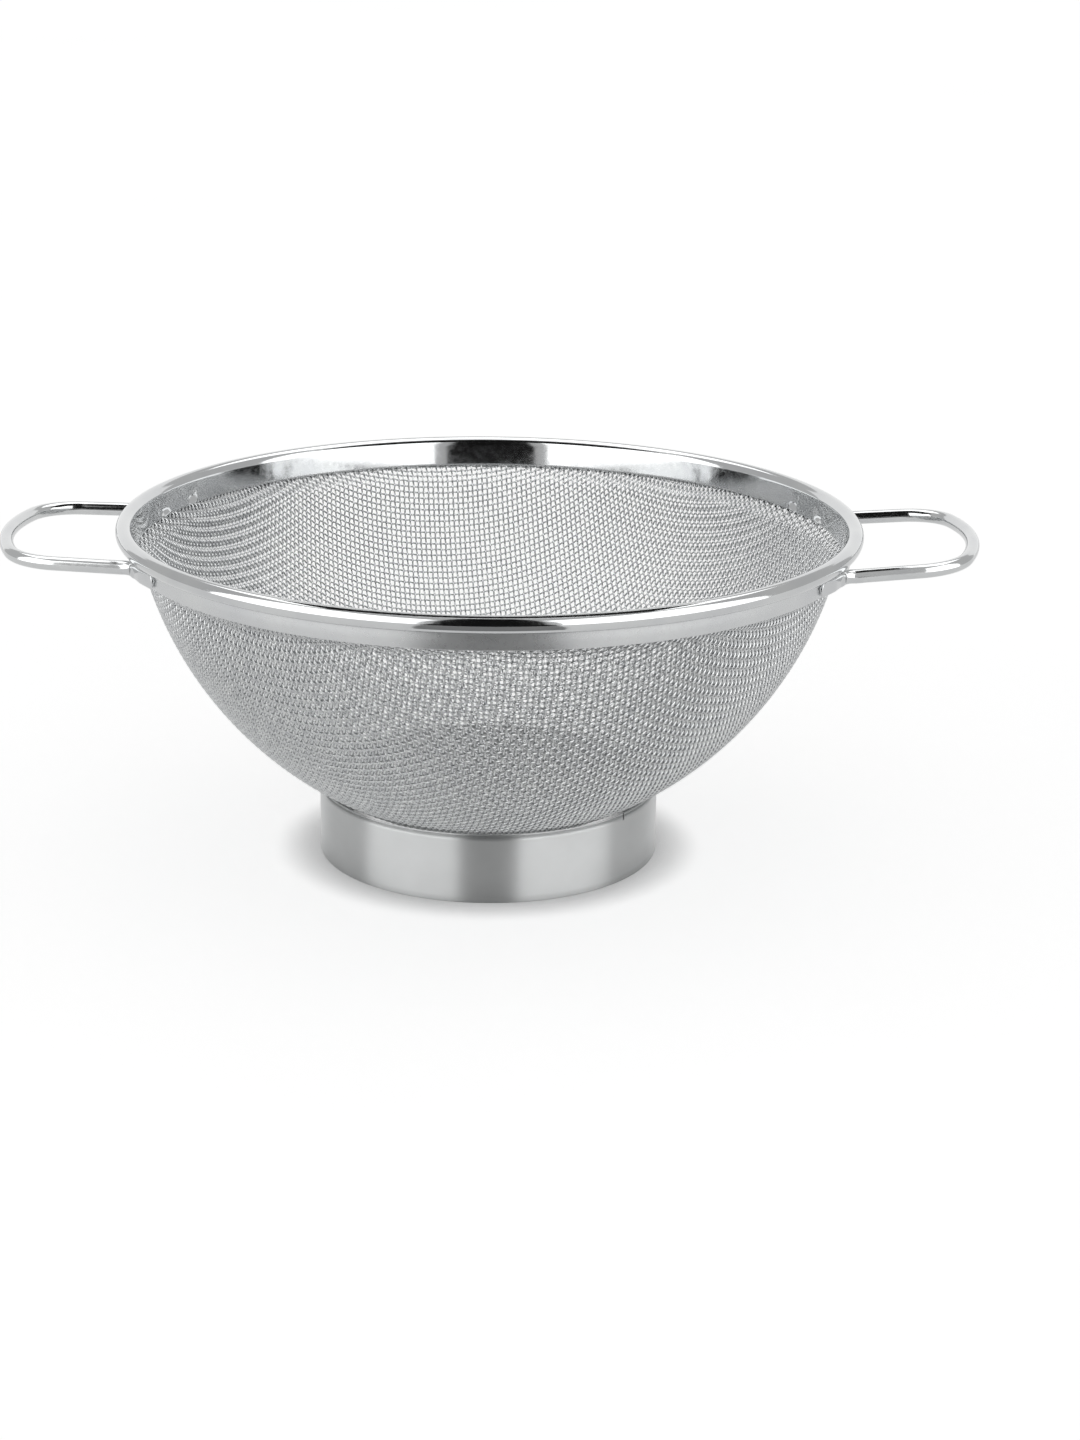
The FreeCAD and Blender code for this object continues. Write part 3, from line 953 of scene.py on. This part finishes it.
def add_card(name, tone, right_corners):
    """A dark or grey card, mirrored in the YZ plane, that shows only in reflections."""
    shader = Shader(name)
    shader.surface.inputs["Base Color"].default_value = (tone, tone, tone, 1)
    shader.surface.inputs["Specular IOR Level"].default_value = 0.0
    *left_corners, first_corner = [(-x, y, z) for x, y, z in reversed(right_corners)]
    card = stage_object(name, [first_corner, *right_corners, *left_corners], shader.material)
    card.visible_camera = False
    card.visible_diffuse = False
    card.visible_shadow = False


def make_floor():
    """A wide pale light table, whiter to the camera than in reflections.

    Its glow fades where something stands close, which makes the contact shadow.
    """
    shader = Shader("pale_floor")
    clouds = shader.noise(shader.place(), scale=1.5)
    grain = shader.tones(clouds, (0.78, 0.78, 0.78), (0.80, 0.80, 0.80))
    seen = shader.node("ShaderNodeLightPath").outputs["Is Camera Ray"]
    level = shader.mapped(seen, 0.0, 1.0, FLOOR_IN_REFLECTIONS, 1.0)
    tone = shader.node("ShaderNodeVectorMath", {0: grain, 1: level}, operation="MULTIPLY").outputs[0]
    reach = {"Distance": CONTACT_SHADOW_REACH}
    openness = shader.node("ShaderNodeAmbientOcclusion", reach, samples=6).outputs["AO"]
    shade = shader.calculate("POWER", openness, CONTACT_SHADOW_DEPTH)
    glow = shader.node("ShaderNodeVectorMath", {0: tone, 1: shade}, operation="MULTIPLY").outputs[0]
    shader.link(tone, "Base Color")
    shader.link(glow, "Emission Color")
    shader.surface.inputs["Emission Strength"].default_value = FLOOR_GLOW
    shader.surface.inputs["Roughness"].default_value = 0.9
    shader.surface.inputs["Specular IOR Level"].default_value = 0.0
    corners = [(-FLOOR_HALF, -FLOOR_HALF, 0), (FLOOR_HALF, -FLOOR_HALF, 0),
               (FLOOR_HALF, FLOOR_HALF, 0), (-FLOOR_HALF, FLOOR_HALF, 0)]
    stage_object("floor", corners, shader.material)


def make_world():
    """An even surround, white to the camera and dimmer as a light."""
    world = bpy.data.worlds.new("studio")
    world.use_nodes = True
    nodes, links = world.node_tree.nodes, world.node_tree.links
    background = nodes["Background"]
    background.inputs["Color"].default_value = (1.0, 1.0, 1.0, 1)
    seen = nodes.new("ShaderNodeLightPath").outputs["Is Camera Ray"]
    level = nodes.new("ShaderNodeMapRange")
    level.inputs["To Min"].default_value = WORLD_STRENGTH
    links.new(seen, level.inputs["Value"])
    links.new(level.outputs[0], background.inputs["Strength"])
    bpy.context.scene.world = world


def make_studio():
    """Surround, floor, softboxes and reflection cards."""
    bpy.context.scene.view_settings.view_transform = "Standard"
    make_world()
    make_floor()
    for name, settings in SOFTBOXES.items():
        add_softbox(name, *settings)
    for name, (tone, right_corners) in CARDS.items():
        add_card(name, tone, right_corners)


# ---- build everything ----

rim_steel = polished_steel("polished_rim_steel", (0.60, 0.61, 0.62), (0.66, 0.67, 0.67),
                           rough_low=0.05, rough_high=0.12, spot_scale=60.0)
add_satin_flank(rim_steel, extra_roughness=0.20)
handle_steel = polished_steel("polished_wire_steel", (0.60, 0.61, 0.62), (0.67, 0.68, 0.68),
                              rough_low=0.06, rough_high=0.14, spot_scale=80.0)
core_steel = polished_steel("core_wire_steel", (0.45, 0.46, 0.46), (0.55, 0.55, 0.55),
                            rough_low=0.25, rough_high=0.40, spot_scale=90.0)
foot_steel = rolled_steel("rolled_sheet_steel", (0.58, 0.59, 0.59), (0.64, 0.65, 0.65),
                          rough_low=0.34, rough_high=0.44)
wire_steel = drawn_wire_steel("drawn_wire_steel", (0.53, 0.54, 0.55), (0.70, 0.71, 0.71),
                              roughness=0.22)

make_rim(rim_steel.material)
make_foot(foot_steel.material)
make_handle("handle_left", handle_steel.material)
make_handle("handle_right", handle_steel.material)
make_cloth(wire_steel.material)
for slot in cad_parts["rim_core_wire"].material_slots:
    slot.material = core_steel.material

make_studio()
make_camera()
